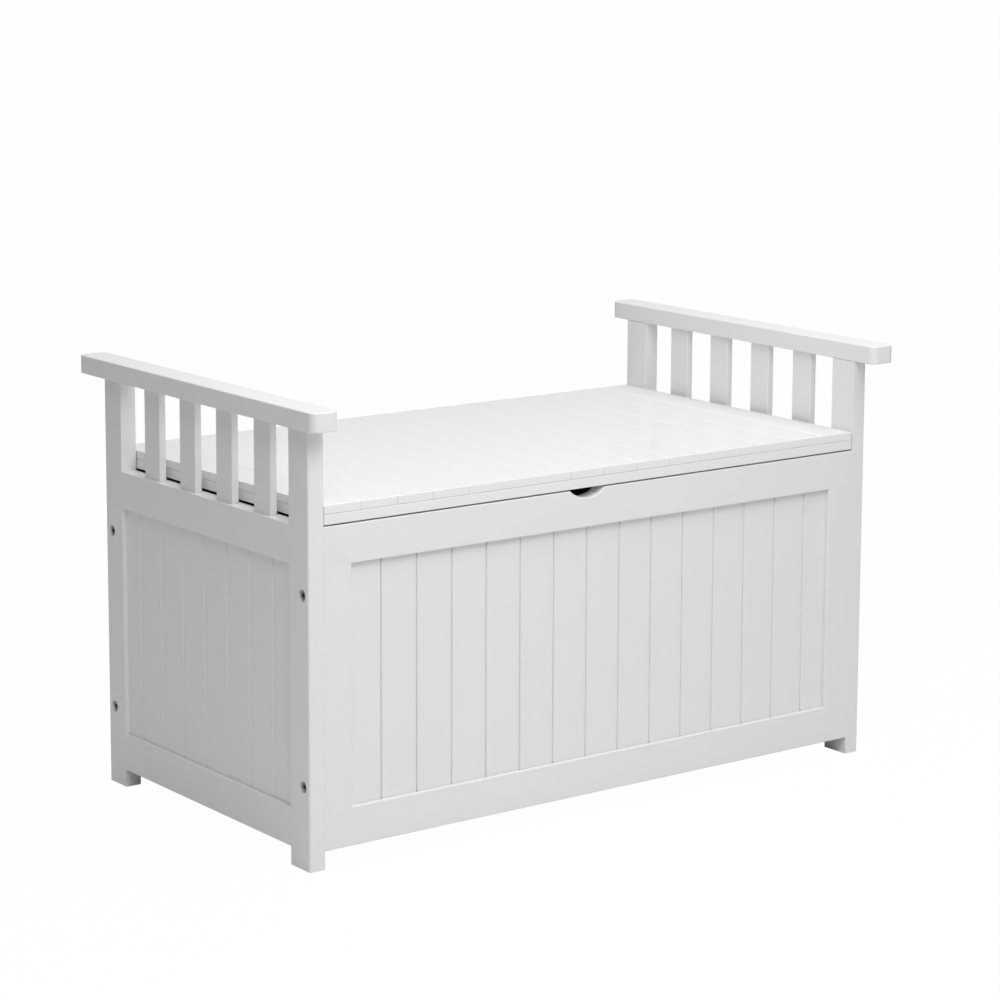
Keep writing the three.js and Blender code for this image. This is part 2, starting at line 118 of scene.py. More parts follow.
class Wire:
    """One output in a material's nodes. Adding to it or multiplying it adds a Math node."""

    def __init__(self, shader, socket):
        self.shader = shader
        self.socket = socket

    def math(self, operation, *values):
        return self.shader.node("Math", {"operation": operation}, dict(enumerate(values)))

    def __add__(self, other):
        return self.math("ADD", self, other)

    def __mul__(self, other):
        return self.math("MULTIPLY", self, other)

    __radd__ = __add__
    __rmul__ = __mul__


class Shader:
    """The nodes of a material or of the world."""

    def __init__(self, owner):
        owner.use_nodes = True
        self.tree = owner.node_tree
        self.tree.nodes.clear()

    def node(self, kind, settings=None, inputs=None, output=0):
        made = self.tree.nodes.new("ShaderNode" + kind)
        for name, value in (settings or {}).items():
            setattr(made, name, value)
        for name, value in (inputs or {}).items():
            if isinstance(value, Wire):
                self.tree.links.new(value.socket, made.inputs[name])
            else:
                made.inputs[name].default_value = value
        return Wire(self, made.outputs[output]) if made.outputs else None


def new_material(name):
    material = bpy.data.materials.new(name)
    return material, Shader(material)


WHITE = (1, 1, 1, 1)
ROOM_LIGHT = 0.34
BACKDROP_GLOW = 1.0

world = bpy.data.worlds.new("studio")
scene.world = world
room = Shader(world)
to_camera = room.node("LightPath", output="Is Camera Ray")
dim_room = room.node("Background", inputs={"Color": WHITE, "Strength": ROOM_LIGHT})
backdrop = room.node("Background", inputs={"Color": WHITE, "Strength": BACKDROP_GLOW})
seen_room = room.node("MixShader", inputs={0: to_camera, 1: dim_room, 2: backdrop})
room.node("OutputWorld", inputs={"Surface": seen_room})

FLOOR_SIZE = 60
FLOOR_GLOW = 0.985
PAPER_COLOUR = (0.8, 0.8, 0.8, 1)
PAPER_ROUGHNESS = 0.7
TOOTH_PER_METRE = 40
TOOTH_STRENGTH = 0.05
TOOTH_DEPTH = 0.001

floor_shape = bmesh.new()
bmesh.ops.create_grid(floor_shape, x_segments=1, y_segments=1, size=FLOOR_SIZE / 2)
floor_mesh = bpy.data.meshes.new("floor")
floor_shape.to_mesh(floor_mesh)
floor_shape.free()
floor = bpy.data.objects.new("floor", floor_mesh)
scene.collection.objects.link(floor)
floor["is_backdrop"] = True

floor_material, paper = new_material("floor_paper")
paper_tooth = paper.node("TexNoise", inputs={"Scale": TOOTH_PER_METRE, "Detail": 4})
paper_bump = paper.node(
    "Bump", inputs={"Height": paper_tooth, "Strength": TOOTH_STRENGTH, "Distance": TOOTH_DEPTH}
)
matt_paper = paper.node(
    "BsdfPrincipled",
    inputs={"Base Color": PAPER_COLOUR, "Roughness": PAPER_ROUGHNESS, "Normal": paper_bump},
)
lit_paper = paper.node("Emission", inputs={"Color": WHITE, "Strength": BACKDROP_GLOW})
lit_share = paper.node("LightPath", output="Is Camera Ray") * FLOOR_GLOW
floor_surface = paper.node("MixShader", inputs={0: lit_share, 1: matt_paper, 2: lit_paper})
paper.node("OutputMaterial", inputs={"Surface": floor_surface})
floor_mesh.materials.append(floor_material)


# ---------------------------------------------------------------- front and back rails
# Four planed pine rails run the length of the bench, two in front and two behind. Each has a groove
# in its inner edge for the panel, and the front top rail a hollowed finger pull. They are sprayed
# white with a satin paint that lets a little of the grain through.

MM = 0.001
WELD = 0.01 * MM
TOUCH = 0.02 * MM
FLAT_ANGLE = math.radians(1)
ARRIS_ANGLE = math.radians(35)
SMOOTH_ANGLE = math.radians(38)
RAIL_ARRIS = 1.3 * MM
GROOVE_ARRIS = 0.3 * MM
GLUE_LINE = 0.2 * MM
SHORTEST_ARRIS = 6 * MM
SHORTEST_PULL_ARRIS = 0.5 * MM

SATIN_WHITE = (0.838, 0.838, 0.838, 1)
SATIN_WHITE_THIN = (0.815, 0.815, 0.813, 1)
SATIN_ROUGHNESS = 0.33
SATIN_GRAIN_DEPTH = 0.03 * MM
SATIN_WAVE_DEPTH = 0.02 * MM

FIGURE_ALONG = 5
FIGURE_ACROSS = 210
PATCHES_PER_METRE = 11
WAVES_PER_METRE = 28
PIMPLES_PER_METRE = 900
PIMPLE_DEPTH = 0.012 * MM
PATCH_SHARE = 0.65
PAINT_ROUGHNESS_SPREAD = 0.1
PAINT_IOR = 1.5


def noise(shader, place, scale, detail):
    return shader.node("TexNoise", inputs={"Vector": place, "Scale": scale, "Detail": detail})


def blended(shader, share, first, second):
    """A colour that goes from the first to the second as the share goes from 0 to 1."""
    inputs = {"Factor": share, 6: first, 7: second}
    return shader.node("Mix", {"data_type": "RGBA"}, inputs, output=2)


def relief(shader, height):
    """A bump from a height in metres."""
    return shader.node("Bump", inputs={"Height": height, "Strength": 1, "Distance": 1})


def painted_wood(name, grain, full_coat, thin_coat, roughness, grain_depth, wave_depth):
    """Sprayed wood: the figure of the grain, the paint's fine pimples and its slow waves."""
    material, paint = new_material(name)
    place = paint.node("TexCoord", output="Object")
    stretch = [FIGURE_ALONG if axis == grain else FIGURE_ACROSS for axis in "xyz"]
    along_grain = paint.node("Mapping", inputs={"Vector": place, "Scale": stretch})
    figure = noise(paint, along_grain, scale=1, detail=4)
    patches = noise(paint, place, PATCHES_PER_METRE, detail=2)
    waves = noise(paint, place, WAVES_PER_METRE, detail=1)
    pimples = noise(paint, place, PIMPLES_PER_METRE, detail=1)
    height = figure * grain_depth + waves * wave_depth + pimples * PIMPLE_DEPTH
    bump = relief(paint, height)
    thinness = PATCH_SHARE * patches + (1 - PATCH_SHARE) * figure
    coat = blended(paint, thinness, full_coat, thin_coat)
    smoothest = roughness - PAINT_ROUGHNESS_SPREAD / 2
    sheen = smoothest + PAINT_ROUGHNESS_SPREAD * patches
    surface = paint.node(
        "BsdfPrincipled",
        inputs={"Base Color": coat, "Roughness": sheen, "Normal": bump, "IOR": PAINT_IOR},
    )
    paint.node("OutputMaterial", inputs={"Surface": surface})
    return material


WHITE_PAINT = {
    grain: painted_wood(
        "satin_white_along_" + grain,
        grain,
        SATIN_WHITE,
        SATIN_WHITE_THIN,
        SATIN_ROUGHNESS,
        SATIN_GRAIN_DEPTH,
        SATIN_WAVE_DEPTH,
    )
    for grain in "xyz"
}


def copy_of(node):
    """The CAD node's shape, welded, with its flat faces whole again."""
    shape = bmesh.new()
    shape.from_mesh(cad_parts[node].data)
    bmesh.ops.remove_doubles(shape, verts=shape.verts, dist=WELD)
    bmesh.ops.dissolve_limit(shape, angle_limit=FLAT_ANGLE, verts=shape.verts, edges=shape.edges)
    return shape


def arrises(shape, shortest=SHORTEST_ARRIS):
    """The outward corners between flat faces, without the rims of small holes."""
    return [
        edge
        for edge in shape.edges
        if edge.is_manifold
        and edge.is_convex
        and edge.calc_face_angle() > ARRIS_ANGLE
        and edge.calc_length() > shortest
    ]


def ease(shape, edges, radius, segments=2):
    """Rounds edges over, as sanding does, and returns the new faces."""
    return bmesh.ops.bevel(
        shape,
        geom=edges,
        offset=radius,
        offset_type="OFFSET",
        segments=segments,
        profile=0.5,
        affect="EDGES",
        clamp_overlap=True,
        material=-1,
    )["faces"]


def add_piece(name, shape, material, body, slot, *nodes):
    """Turns a shape into a finished piece that rides on a body and stands for CAD nodes."""
    bmesh.ops.dissolve_degenerate(shape, dist=WELD, edges=shape.edges)
    mesh = bpy.data.meshes.new(name)
    shape.to_mesh(mesh)
    shape.free()
    mesh.shade_smooth()
    mesh.set_sharp_from_angle(angle=SMOOTH_ANGLE)
    mesh.materials.append(material)
    piece = bpy.data.objects.new(name, mesh)
    scene.collection.objects.link(piece)
    normals = piece.modifiers.new("flat_faces", "WEIGHTED_NORMAL")
    normals.keep_sharp = True
    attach(piece, body)
    if nodes:
        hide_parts(*nodes)


def butt(shape, axis, ends=(-1, 1)):
    """Draws a member's ends tight against its neighbours, and returns the planes of the joints."""
    spread = [corner.co[axis] for corner in shape.verts]
    joints = []
    for outwards in ends:
        place = outwards * max(outwards * value for value in spread)
        tight = place + outwards * (GLUE_LINE - TOUCH)
        for corner in shape.verts:
            if abs(corner.co[axis] - place) < TOUCH:
                corner.co[axis] = tight
        joints.append((axis, tight))
    return joints


def lies_in(edge, planes):
    """Whether an edge lies in one of the planes, each given as an axis and a place on it."""
    return any(
        all(abs(corner.co[axis] - place) < TOUCH for corner in edge.verts) for axis, place in planes
    )


def sand(shape, thickness, joints, shortest=SHORTEST_ARRIS, hidden=lambda middle: False):
    """Rounds the arrises of a member's two faces and only breaks those of its grooves. The edges
    in its joints stay sharp, because the paint runs over them."""
    spread = [corner.co[thickness] for corner in shape.verts]
    faces = [(thickness, min(spread)), (thickness, max(spread))]

    def loose(length):
        return [
            edge
            for edge in arrises(shape, length)
            if not lies_in(edge, joints) and not hidden((edge.verts[0].co + edge.verts[1].co) / 2)
        ]

    outer = [edge for edge in loose(shortest) if lies_in(edge, faces)]
    ease(shape, outer, RAIL_ARRIS, segments=3)
    inner = [edge for edge in loose(SHORTEST_ARRIS) if not lies_in(edge, faces)]
    ease(shape, inner, GROOVE_ARRIS)


def cut_across(shape, axis, place):
    """Adds a ring of edges where a plane crosses the shape."""
    across = Vector((0, 0, 0))
    across[axis] = 1
    bmesh.ops.bisect_plane(
        shape,
        geom=[*shape.verts, *shape.edges, *shape.faces],
        dist=WELD,
        plane_co=place * across,
        plane_no=across,
    )


FACES = {"front": -1, "back": 1}
SIDES = {"left": -1, "right": 1}

stile_edge_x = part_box("front_right_stile")[0].x
bottom_rail_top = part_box("front_bottom_rail")[1].z
top_rail_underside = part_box("front_top_rail")[0].z


def meets_stile(middle):
    """Whether a long rail's edge lies on the end of a stile."""
    return abs(middle.x) > stile_edge_x and (
        abs(middle.z - bottom_rail_top) < TOUCH or abs(middle.z - top_rail_underside) < TOUCH
    )


for face_name in FACES:
    for level in ("top", "bottom"):
        node = face_name + "_" + level + "_rail"
        rail = copy_of(node)
        cut_across(rail, 0, -stile_edge_x)
        cut_across(rail, 0, stile_edge_x)
        shortest = SHORTEST_ARRIS
        if node == "front_top_rail":
            shortest = SHORTEST_PULL_ARRIS
        sand(rail, 1, butt(rail, 0), shortest, meets_stile)
        add_piece(node + "_wood", rail, WHITE_PAINT["x"], "carcass", "white_paint", node)


# ---------------------------------------------------------------- stiles
# Four upright boards stand between the long rails, against the posts, and hold the ends of the long
# panels in their grooves. They are bored for the frame bolts and for the barrel nuts.

for face_name in FACES:
    for side_name, side in SIDES.items():
        node = face_name + "_" + side_name + "_stile"
        stile = copy_of(node)
        sand(stile, 1, butt(stile, 2) + butt(stile, 0, [side]))
        add_piece(node + "_wood", stile, WHITE_PAINT["z"], "carcass", "white_paint", node)


# ---------------------------------------------------------------- end rails
# Two short rails join the posts of each end, one under the arm slats and one at the bottom. They are
# of the same section as the long rails.

for side_name in SIDES:
    for level in ("top", "bottom"):
        node = side_name + "_" + level + "_rail"
        rail = copy_of(node)
        sand(rail, 0, butt(rail, 1))
        add_piece(node + "_wood", rail, WHITE_PAINT["y"], "carcass", "white_paint", node)


# ---------------------------------------------------------------- panels
# Four thin panels fill the sides. V-grooves are run down their outer faces, with a narrow gap at the
# bottom, as if each were made of boards. They sit loose in the grooves of the rails and stiles.

PANEL_ARRIS = 0.35 * MM
SHORTEST_GROOVE = 100 * MM
BOARD_GAP = 0.9 * MM
BOARD_GAP_DEPTH = 2.2 * MM

for sheet_name in ("front", "back", "left", "right"):
    node = sheet_name + "_panel"
    panel = copy_of(node)
    ease(panel, arrises(panel), PANEL_ARRIS)
    groove_bottoms = [
        edge
        for edge in panel.edges
        if not edge.is_convex
        and edge.calc_face_angle(0) > ARRIS_ANGLE
        and edge.calc_length() > SHORTEST_GROOVE
    ]
    gaps = ease(panel, groove_bottoms, BOARD_GAP / 2, segments=1)
    bmesh.ops.inset_individual(panel, faces=gaps, thickness=TOUCH, depth=-BOARD_GAP_DEPTH)
    add_piece(node + "_boards", panel, WHITE_PAINT["z"], "carcass", "white_paint", node)


# ---------------------------------------------------------------- posts
# Four square posts carry everything. The outermost corner of each is rounded and the other three are
# only broken, so that the rails meet them in a hairline. Each is counterbored twice for bolts.

POST_OUTER_ROUND = 2.4 * MM
POST_INNER_ROUND = 0.25 * MM
POST_END_ROUND = 0.4 * MM

BOLT_INSET = 14.5 * MM
LOWER_BOLT_RISE = 32 * MM
UPPER_BOLT_DROP = 34 * MM
BOLT_HEIGHTS = (bottom_rail_top + LOWER_BOLT_RISE, top_rail_underside - UPPER_BOLT_DROP)
COUNTERBORE_RADIUS = 7.5 * MM
COUNTERBORE_DEPTH = 5 * MM
COUNTERBORE_RIM = 0.35 * MM
BOLT_HOLE_RADIUS = 3.3 * MM
HOLE_SIDES = 32
HOLE_MARGIN = 1.25
NEARLY_WHOLE = 0.99


def block(low, high):
    """A square-cut member that fills the box between two corners."""
    shape = bmesh.new()
    bmesh.ops.create_cube(shape, size=1)
    bmesh.ops.scale(shape, vec=high - low, verts=shape.verts)
    bmesh.ops.translate(shape, vec=(low + high) / 2, verts=shape.verts)
    return shape


def edges_along(shape, axis, wanted=lambda middle: True):
    """Edges that run along an axis, and whose middle is one that is wanted."""
    found = []
    for edge in shape.edges:
        start, end = (corner.co for corner in edge.verts)
        run = end - start
        if abs(run[axis]) > NEARLY_WHOLE * run.length and wanted((start + end) / 2):
            found.append(edge)
    return found


def end_edges(shape, axis, places):
    """Edges that lie in the flat end faces of a member, at the given places on an axis."""
    return [
        edge
        for edge in shape.edges
        for place in places
        if all(abs(corner.co[axis] - place) < TOUCH for corner in edge.verts)
        and edge.calc_face_angle(0) > ARRIS_ANGLE
    ]


def open_face(shape, centre, radius):
    """Cuts a round mouth into the flat face that looks along X at centre, and returns its rim."""
    for axis, direction in ((1, -1), (1, 1), (2, -1), (2, 1)):
        across = Vector((0, 0, 0))
        across[axis] = direction
        flat = [
            face
            for face in shape.faces
            if all(abs(corner.co.x - centre.x) < TOUCH for corner in face.verts)
        ]
        borders = {edge for face in flat for edge in face.edges}
        corners = {corner for face in flat for corner in face.verts}
        bmesh.ops.bisect_plane(
            shape,
            geom=[*flat, *borders, *corners],
            dist=WELD,
            plane_co=centre + HOLE_MARGIN * radius * across,
            plane_no=across,
        )
    window = min(shape.faces, key=lambda face: (face.calc_center_median() - centre).length)
    bmesh.ops.bisect_edges(shape, edges=list(window.edges), cuts=HOLE_SIDES // 4 - 1)
    bmesh.ops.inset_individual(shape, faces=[window], thickness=WELD, use_even_offset=True)
    for corner in window.verts:
        corner.co = centre + radius * (corner.co - centre).normalized()
    rim = list(window.edges)
    bmesh.ops.delete(shape, geom=[window], context="FACES_ONLY")
    return rim


def carry_on(shape, ring):
    """Extrudes a ring of edges, and returns the new ring and its corners."""
    grown = bmesh.ops.extrude_edge_only(shape, edges=ring)["geom"]
    corners = [item for item in grown if isinstance(item, bmesh.types.BMVert)]
    known = set(corners)
    edges = [
        item for item in grown if isinstance(item, bmesh.types.BMEdge) and set(item.verts) <= known
    ]
    return edges, corners


def counterbore(shape, outside, inside):
    """A stepped hole along X through a post, from its outer face to its inner one."""
    inwards = (inside - outside).normalized()
    far_rim = open_face(shape, inside, BOLT_HOLE_RADIUS)
    near_rim = open_face(shape, outside, COUNTERBORE_RADIUS)
    seat_rim, seat_corners = carry_on(shape, near_rim)
    bmesh.ops.translate(shape, vec=inwards * COUNTERBORE_DEPTH, verts=seat_corners)
    hole_rim, hole_corners = carry_on(shape, seat_rim)
    narrowing = BOLT_HOLE_RADIUS / COUNTERBORE_RADIUS
    bmesh.ops.scale(
        shape,
        vec=(1, narrowing, narrowing),
        space=Matrix.Translation(-outside),
        verts=hole_corners,
    )
    bmesh.ops.bridge_loops(shape, edges=hole_rim + far_rim)
    bmesh.ops.recalc_face_normals(shape, faces=shape.faces)
    ease(shape, near_rim, COUNTERBORE_RIM)


post_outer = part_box("right_back_post")[1]
bolt_y = post_outer.y - BOLT_INSET

for side_name, side in SIDES.items():
    for face_name, face_sign in FACES.items():
        node = side_name + "_" + face_name + "_post"
        low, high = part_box(node)
        post = block(low, high)
        centre = (low + high) / 2

        def is_outermost(middle):
            return side * (middle.x - centre.x) > 0 and face_sign * (middle.y - centre.y) > 0

        other_corners = edges_along(post, 2, lambda middle: not is_outermost(middle))
        ease(post, other_corners, POST_INNER_ROUND)
        ease(post, edges_along(post, 2, is_outermost), POST_OUTER_ROUND, segments=5)
        ease(post, end_edges(post, 2, (low.z, high.z)), POST_END_ROUND)
        outer_x, inner_x = (high.x, low.x) if side > 0 else (low.x, high.x)
        for height in BOLT_HEIGHTS:
            outside = Vector((outer_x, face_sign * bolt_y, height))
            inside = Vector((inner_x, face_sign * bolt_y, height))
            counterbore(post, outside, inside)
        add_piece(node + "_wood", post, WHITE_PAINT["z"], "carcass", "white_paint", node)


# ---------------------------------------------------------------- frame bolts and barrel nuts
# Eight button-head bolts of dark, oiled steel sit in the counterbores of the posts. Each runs into a
# barrel nut in a hole in the stile's inner face, which draws the frames to the posts.

RING_SIDES = 24
BOLT_HEAD_RADIUS = 6 * MM
BOLT_HEAD_HEIGHT = 2.8 * MM
BOLT_HEAD_SIDE = 0.6 * MM
BOLT_DOME_STEPS = 5
BOLT_CROWN_RADIUS = 4.1 * MM
BOLT_SHANK_RADIUS = 3 * MM
BOLT_LENGTH = 45 * MM
BOLT_TIP = 0.6 * MM
SOCKET_RADIUS = 3.3 * MM
SOCKET_DEPTH = 2.3 * MM
SOCKET_TAPER = 0.97
SOCKET_SIDES = 6
BARREL_RADIUS = 4.9 * MM
BARREL_LENGTH = 11.8 * MM
BARREL_EDGE = 0.4 * MM
BARREL_SLOT = (4.2 * MM, 0.6 * MM)
BARREL_SLOT_DEPTH = 1.4 * MM
BARREL_NUT_INSET = 19.2 * MM
BARREL_NUT_SUNK = 0.4 * MM

BARE_STEEL = (0.46, 0.46, 0.47, 1)
OILED_STEEL = (0.1, 0.1, 0.105, 1)
BOLT_ROUGHNESS = 0.2
CLOUDS_PER_METRE = 260
CLOUD_ROUGHNESS = 0.2
STREAK_SCALE = (300, 2600, 2600)
STREAK_DEPTH = 0.01 * MM


def clouded_steel(name, clear, clouded, roughness):
    """Steel with cloudy patches of oil or of zinc's bloom, and with fine drawn streaks."""
    material, steel = new_material(name)
    place = steel.node("TexCoord", output="Object")
    clouds = noise(steel, place, CLOUDS_PER_METRE, detail=3)
    streak_place = steel.node("Mapping", inputs={"Vector": place, "Scale": STREAK_SCALE})
    streaks = noise(steel, streak_place, scale=1, detail=2)
    surface = steel.node(
        "BsdfPrincipled",
        inputs={
            "Base Color": blended(steel, clouds, clear, clouded),
            "Metallic": 1,
            "Roughness": roughness + CLOUD_ROUGHNESS * clouds,
            "Normal": relief(steel, streaks * STREAK_DEPTH),
        },
    )
    steel.node("OutputMaterial", inputs={"Surface": surface})
    return material


BOLT_STEEL = clouded_steel("bolt_steel", BARE_STEEL, OILED_STEEL, BOLT_ROUGHNESS)


def recessed_disc(recess, radius, depth, taper):
    """A flat disc round a recess that is sunk into it, facing +Z. recess is the flat mesh of the
    recess, whose outline takes RING_SIDES edges. Returns the disc's rim."""
    floor_faces = list(recess.faces)
    outline = [edge for edge in recess.edges if edge.is_boundary]
    bmesh.ops.bisect_edges(recess, edges=outline, cuts=RING_SIDES // len(outline) - 1)
    outline = [edge for edge in recess.edges if edge.is_boundary]
    rim_corners = bmesh.ops.create_circle(recess, segments=RING_SIDES, radius=radius)["verts"]
    rim = list({edge for corner in rim_corners for edge in corner.link_edges})
    bmesh.ops.bridge_loops(recess, edges=outline + rim)
    sunk = bmesh.ops.extrude_face_region(recess, geom=floor_faces)["geom"]
    bmesh.ops.delete(recess, geom=[face for face in floor_faces if face.is_valid], context="FACES")
    sunk_corners = [item for item in sunk if isinstance(item, bmesh.types.BMVert)]
    bmesh.ops.scale(recess, vec=(taper, taper, 1), verts=sunk_corners)
    bmesh.ops.translate(recess, vec=(0, 0, -depth), verts=sunk_corners)
    return rim


def turn_on(shape, rim, radius, profile):
    """Carries a round rim on through (radius, height) steps and closes the far end."""
    for next_radius, height in profile:
        rim, corners = carry_on(shape, rim)
        share = next_radius / radius
        bmesh.ops.scale(shape, vec=(share, share, 1), verts=corners)
        for corner in corners:
            corner.co.z = height
        radius = next_radius
    bmesh.ops.contextual_create(shape, geom=rim)
    bmesh.ops.recalc_face_normals(shape, faces=shape.faces)


def quarter_turn(steps):
    """Angles that go from just above 0 to 90 degrees."""
    return [math.pi / 2 * step / steps for step in range(1, steps + 1)]


def bolt():
    """A button-headed bolt with a hexagon socket, its head's top at 0 and facing +Z."""
    shape = bmesh.new()
    bmesh.ops.create_circle(shape, cap_ends=True, segments=SOCKET_SIDES, radius=SOCKET_RADIUS)
    rim = recessed_disc(shape, BOLT_CROWN_RADIUS, SOCKET_DEPTH, SOCKET_TAPER)
    spread = BOLT_HEAD_RADIUS - BOLT_CROWN_RADIUS
    rise = BOLT_HEAD_HEIGHT - BOLT_HEAD_SIDE
    dome = [
        (BOLT_CROWN_RADIUS + spread * math.sin(turn), rise * (math.cos(turn) - 1))
        for turn in quarter_turn(BOLT_DOME_STEPS)
    ]
    underside = -BOLT_HEAD_HEIGHT
    tip = underside - BOLT_LENGTH
    profile = dome + [
        (BOLT_HEAD_RADIUS, underside),
        (BOLT_SHANK_RADIUS, underside),
        (BOLT_SHANK_RADIUS, tip + BOLT_TIP),
        (BOLT_SHANK_RADIUS - BOLT_TIP, tip),
    ]
    turn_on(shape, rim, BOLT_CROWN_RADIUS, profile)
    return shape


def barrel_nut():
    """A plain barrel with a screwdriver slot in its end, the slotted end at 0 and facing +Z."""
    shape = bmesh.new()
    bmesh.ops.create_grid(shape, x_segments=1, y_segments=1, size=1)
    bmesh.ops.scale(shape, vec=(*BARREL_SLOT, 1), verts=shape.verts)
    flat_radius = BARREL_RADIUS - BARREL_EDGE
    rim = recessed_disc(shape, flat_radius, BARREL_SLOT_DEPTH, taper=1)
    profile = [
        (BARREL_RADIUS, -BARREL_EDGE),
        (BARREL_RADIUS, BARREL_EDGE - BARREL_LENGTH),
        (flat_radius, -BARREL_LENGTH),
    ]
    turn_on(shape, rim, flat_radius, profile)
    return shape


def put_at(shape, place, facing, twist=0):
    """Moves a shape that was made at the origin, and turns its +Z to the facing direction."""
    turn = Vector(facing).to_track_quat("Z", "Y").to_matrix().to_4x4()
    bmesh.ops.transform(
        shape,
        matrix=Matrix.Translation(place) @ turn @ Matrix.Rotation(twist, 4, "Z"),
        verts=shape.verts,
    )


TWIST_SEED = 4
twists = random.Random(TWIST_SEED)
stile_low, stile_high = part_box("back_right_stile")
head_x = post_outer.x - COUNTERBORE_DEPTH + BOLT_HEAD_HEIGHT
nut_x = stile_high.x - BARREL_NUT_INSET
nut_y = stile_low.y + BARREL_NUT_SUNK

for side_name, side in SIDES.items():
    for face_name, face_sign in FACES.items():
        for level, height in zip(("lower", "upper"), BOLT_HEIGHTS):
            corner_name = side_name + "_" + face_name + "_" + level
            frame_bolt = bolt()
            twist = twists.uniform(0, math.tau / SOCKET_SIDES)
            put_at(frame_bolt, (side * head_x, face_sign * bolt_y, height), (side, 0, 0), twist)
            add_piece(corner_name + "_bolt", frame_bolt, BOLT_STEEL, "carcass", "hinge_steel")
            nut = barrel_nut()
            put_at(nut, (side * nut_x, face_sign * nut_y, height), (0, -face_sign, 0))
            add_piece(corner_name + "_barrel_nut", nut, BOLT_STEEL, "carcass", "hinge_steel")


# ---------------------------------------------------------------- arm slats
# Four flat slats fill each arm. They stand on the end rail and reach up into the arm, in the middle
# of the thickness of both, and their long edges are rounded.

SLATS_PER_ARM = 4
SLAT_ROUND = 1.2 * MM

for side_name in SIDES:
    for number in range(1, SLATS_PER_ARM + 1):
        node = side_name + "_slat_" + str(number)
        slat = block(*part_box(node))
        ease(slat, edges_along(slat, 2), SLAT_ROUND, segments=3)
        add_piece(node + "_wood", slat, WHITE_PAINT["z"], "carcass", "white_paint", node)


# ---------------------------------------------------------------- arms
# A thick flat rail lies on each pair of posts. It is rounded strongly at its four corners and softly
# all round its top and underside, for the hand.

ARM_CORNER_ROUND = 10 * MM
ARM_EDGE_ROUND = 1.4 * MM

for side_name in SIDES:
    node = side_name + "_arm"
    low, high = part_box(node)
    arm = block(low, high)
    ease(arm, edges_along(arm, 2), ARM_CORNER_ROUND, segments=10)
    ease(arm, end_edges(arm, 2, (low.z, high.z)), ARM_EDGE_ROUND, segments=4)
    add_piece(node + "_wood", arm, WHITE_PAINT["y"], "carcass", "white_paint", node)


# ---------------------------------------------------------------- base board
# The compartment's bottom is a thin board, primed and given one coat. It lies in grooves of the four
# bottom rails and is notched round the posts.

BASE_ARRIS = 0.4 * MM
BASE_COAT = (0.8, 0.795, 0.775, 1)
BASE_COAT_THIN = (0.74, 0.73, 0.7, 1)
BASE_ROUGHNESS = 0.48
BASE_GRAIN_DEPTH = 0.04 * MM
BASE_WAVE_DEPTH = 0.03 * MM

BASE_PAINT = painted_wood(
    "base_coat",
    "x",
    BASE_COAT,
    BASE_COAT_THIN,
    BASE_ROUGHNESS,
    BASE_GRAIN_DEPTH,
    BASE_WAVE_DEPTH,
)

base = copy_of("base_board")
ease(base, arrises(base), BASE_ARRIS)
add_piece("base_board_wood", base, BASE_PAINT, "carcass", "base_paint", "base_board")


# ---------------------------------------------------------------- seat lid
# The lid is sixteen boards laid side by side over a frame of four battens, glued and sprayed with a
# glossier white, painted a little lighter than the frame as painted light for its brightly lit top.
# Each board is slightly crowned and lies a hair out of true with its neighbours.

LID_BOARDS = 16
BOARD_ROUND = 0.9 * MM
BOARD_END_ROUND = 0.9 * MM
BATTEN_ROUND = 0.9 * MM
BOARD_CROWN = 0.1 * MM
CROWN_LINES = 5
BOARD_TILT = math.radians(0.1)
TILT_SEED = 16

# A lighter white than the frame's satin: the extra lightness is painted light for the light that
# falls on the lid's top.
LIT_GLOSS_WHITE = (0.87, 0.87, 0.87, 1)
LIT_GLOSS_WHITE_THIN = (0.858, 0.858, 0.857, 1)
GLOSS_ROUGHNESS = 0.085
GLOSS_GRAIN_DEPTH = 0.006 * MM
GLOSS_WAVE_DEPTH = 0.05 * MM

LID_PAINT = {
    grain: painted_wood(
        "lit_gloss_white_along_" + grain,
        grain,
        LIT_GLOSS_WHITE,
        LIT_GLOSS_WHITE_THIN,
        GLOSS_ROUGHNESS,
        GLOSS_GRAIN_DEPTH,
        GLOSS_WAVE_DEPTH,
    )
    for grain in "xy"
}

tilts = random.Random(TILT_SEED)


def crown(shape, low, high):
    """Lowers a board's long edges a little, so that its top is very slightly rounded."""
    half = (high.x - low.x) / 2
    middle = (high.x + low.x) / 2
    for line in range(1, CROWN_LINES + 1):
        cut_across(shape, 0, low.x + 2 * half * line / (CROWN_LINES + 1))
    for corner in shape.verts:
        if corner.co.z > (low.z + high.z) / 2:
            corner.co.z -= BOARD_CROWN * ((corner.co.x - middle) / half) ** 2


for number in range(1, LID_BOARDS + 1):
    node = "lid_board_" + str(number)
    low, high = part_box(node)
    board = block(low, high)
    ease(board, edges_along(board, 1), BOARD_ROUND, segments=4)
    ease(board, end_edges(board, 1, (low.y, high.y)), BOARD_END_ROUND, segments=3)
    crown(board, low, high)
    bmesh.ops.rotate(
        board,
        cent=(low + high) / 2,
        matrix=Matrix.Rotation(tilts.uniform(-BOARD_TILT, BOARD_TILT), 3, "Y"),
        verts=board.verts,
    )
    add_piece(node + "_wood", board, LID_PAINT["y"], "lid", "lid_paint", node)

for lid_edge in ("front", "back", "left", "right"):
    node = "lid_" + lid_edge + "_batten"
    batten = block(*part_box(node))
    ease(batten, list(batten.edges), BATTEN_ROUND, segments=3)
    grain = "x" if lid_edge in FACES else "y"
    add_piece(node + "_wood", batten, LID_PAINT[grain], "lid", "lid_paint", node)


# ---------------------------------------------------------------- bumper pads
# Two small domed pads of milky soft plastic are stuck to the front top rail. They keep the closed
# lid two millimetres off it.

